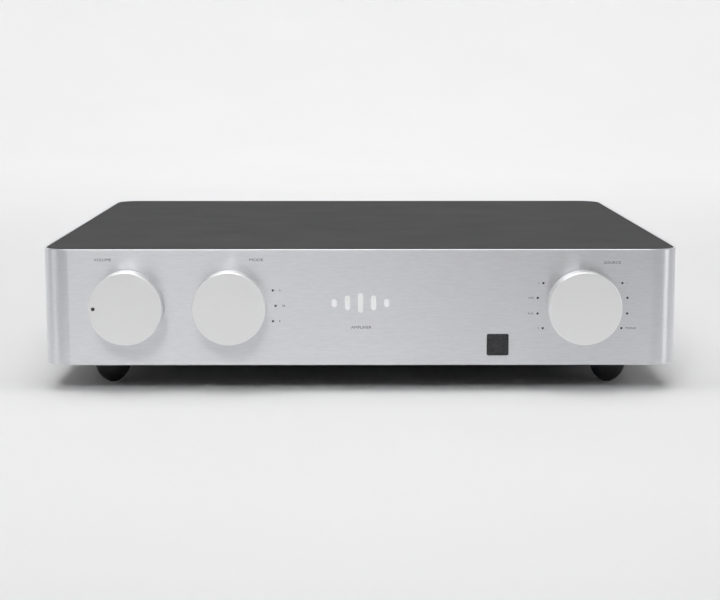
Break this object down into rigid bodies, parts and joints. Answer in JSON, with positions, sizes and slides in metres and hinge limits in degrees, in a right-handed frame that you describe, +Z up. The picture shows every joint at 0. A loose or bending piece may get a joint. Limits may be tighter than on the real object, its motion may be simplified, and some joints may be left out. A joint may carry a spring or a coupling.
{
  "type": "integrated amplifier",
  "caption": "Low, wide stereo amplifier with large turned aluminium knobs, a small display window, domed rubber feet and a rear panel of audio, speaker and mains connectors.",
  "frame": {"origin": "on the surface the feet stand on, under the middle of the bounding box", "axes": "+Z up, front of the case towards -Y, +X to the right of a person facing the front"},
  "size_m": [0.42, 0.413, 0.095],
  "materials": {
    "satin_aluminium": "fine satin, clear anodised",
    "knob_aluminium": "fine turned face, clear anodised",
    "lid_paint": "matte dark grey powder coat",
    "chassis_paint": "matte black powder coat",
    "zinc_steel": "zinc plated",
    "black_screws": "black oxide",
    "foot_rubber": "matte black",
    "pad_rubber": "matte",
    "dark_marker": "smooth",
    "smoked_window": "polished smoked acrylic",
    "module_plastic": "moulded",
    "circuit_board": "solder mask",
    "ribbon": "flat cable sheath",
    "winding": "taped winding",
    "capacitor_sleeve": "shrink sleeve",
    "relay_plastic": "moulded",
    "inlet_plastic": "moulded",
    "inlet_metal": "nickel plated",
    "fuse_glass": "clear",
    "rocker_plastic": "semi-gloss",
    "black_anodised": "black anodised",
    "gold_plate": "gold plated",
    "insulator_plastic": "moulded",
    "red_cap": "moulded, ribbed",
    "black_cap": "moulded, ribbed"
  },
  "bodies": {
    "case": {"base_plate": "chassis_paint", "bridge_rectifier": "module_plastic", "bushing_nuts": "zinc_steel", "case_screws": "black_screws", "control_board": "circuit_board", "display_module": "module_plastic", "display_window": "smoked_window", "feet": "foot_rubber", "filter_capacitors": "capacitor_sleeve", "foot_fasteners": "zinc_steel", "front_panel": "satin_aluminium", "front_subframe": "zinc_steel", "inlet_pins": "inlet_metal", "input_board": "circuit_board", "input_relays": "relay_plastic", "left_amp_board": "circuit_board", "left_heatsink": "black_anodised", "left_side_panel": "satin_aluminium", "light_pipes": "dark_marker", "mains_inlet": "inlet_plastic", "mode_encoder": "module_plastic", "phono_contacts": "gold_plate", "phono_insulators": "insulator_plastic", "phono_nuts": "gold_plate", "phono_shells": "gold_plate", "post_insulators": "insulator_plastic", "post_studs": "gold_plate", "power_supply_board": "circuit_board", "power_switch_body": "inlet_plastic", "power_transistors": "module_plastic", "rear_panel": "chassis_paint", "ribbon_cable": "ribbon", "right_amp_board": "circuit_board", "right_heatsink": "black_anodised", "right_side_panel": "satin_aluminium", "source_encoder": "module_plastic", "top_cover": "lid_paint", "toroidal_transformer": "winding", "transformer_bolt": "zinc_steel", "transformer_clamp_plate": "zinc_steel", "transformer_pads": "pad_rubber", "volume_potentiometer": "module_plastic"},
    "volume_control": {"volume_knob": "knob_aluminium", "volume_pointer": "dark_marker", "volume_shaft": "zinc_steel"},
    "mode_control": {"mode_knob": "knob_aluminium", "mode_shaft": "zinc_steel"},
    "source_control": {"source_knob": "knob_aluminium", "source_shaft": "zinc_steel"},
    "fuse_carrier": {"fuse_drawer": "inlet_plastic", "mains_fuse": "fuse_glass"},
    "rocker": {"power_rocker": "rocker_plastic"},
    "right_red_washer": {"right_red_clamp_washer": "gold_plate"},
    "right_red_nut": {"right_red_thumb_nut": "red_cap"},
    "right_black_washer": {"right_black_clamp_washer": "gold_plate"},
    "right_black_nut": {"right_black_thumb_nut": "black_cap"},
    "left_red_washer": {"left_red_clamp_washer": "gold_plate"},
    "left_red_nut": {"left_red_thumb_nut": "red_cap"},
    "left_black_washer": {"left_black_clamp_washer": "gold_plate"},
    "left_black_nut": {"left_black_thumb_nut": "black_cap"}
  },
  "joints": [
    {"name": "volume_turn", "type": "hinge", "parent": "case", "child": "volume_control", "pos_m": [-0.1533, -0.1935, 0.0577], "axis": [0, 1, 0], "range_deg": [-60, 240]},
    {"name": "mode_turn", "type": "hinge", "parent": "case", "child": "mode_control", "pos_m": [-0.0859, -0.1935, 0.0577], "axis": [0, 1, 0], "continuous": true},
    {"name": "source_turn", "type": "hinge", "parent": "case", "child": "source_control", "pos_m": [0.1463, -0.1935, 0.0577], "axis": [0, 1, 0], "continuous": true},
    {"name": "fuse_drawer_slide", "type": "slide", "parent": "case", "child": "fuse_carrier", "axis": [0, 1, 0], "range_m": [0, 0.02]},
    {"name": "power_rocker_tilt", "type": "hinge", "parent": "case", "child": "rocker", "pos_m": [0.118, 0.1745, 0.0565], "axis": [1, 0, 0], "range_deg": [0, 20]},
    {"name": "right_red_travel", "type": "slide", "parent": "case", "child": "right_red_washer", "axis": [0, 1, 0], "range_m": [0, 0.0041]},
    {"name": "right_red_turn", "type": "hinge", "parent": "right_red_washer", "child": "right_red_nut", "pos_m": [0.088, 0.1945, 0.0565], "axis": [0, 1, 0], "range_deg": [0, 1440]},
    {"name": "right_black_travel", "type": "slide", "parent": "case", "child": "right_black_washer", "axis": [0, 1, 0], "range_m": [0, 0.0041]},
    {"name": "right_black_turn", "type": "hinge", "parent": "right_black_washer", "child": "right_black_nut", "pos_m": [0.069, 0.1945, 0.0565], "axis": [0, 1, 0], "range_deg": [0, 1440]},
    {"name": "left_red_travel", "type": "slide", "parent": "case", "child": "left_red_washer", "axis": [0, 1, 0], "range_m": [0, 0.0041]},
    {"name": "left_red_turn", "type": "hinge", "parent": "left_red_washer", "child": "left_red_nut", "pos_m": [0.038, 0.1945, 0.0565], "axis": [0, 1, 0], "range_deg": [0, 1440]},
    {"name": "left_black_travel", "type": "slide", "parent": "case", "child": "left_black_washer", "axis": [0, 1, 0], "range_m": [0, 0.0041]},
    {"name": "left_black_turn", "type": "hinge", "parent": "left_black_washer", "child": "left_black_nut", "pos_m": [0.019, 0.1945, 0.0565], "axis": [0, 1, 0], "range_deg": [0, 1440]}
  ],
  "couplings": [
    {"joint": "right_red_travel", "follows": "right_red_turn", "m_per_rad": 0.00015915},
    {"joint": "right_black_travel", "follows": "right_black_turn", "m_per_rad": 0.00015915},
    {"joint": "left_red_travel", "follows": "left_red_turn", "m_per_rad": 0.00015915},
    {"joint": "left_black_travel", "follows": "left_black_turn", "m_per_rad": 0.00015915}
  ]
}
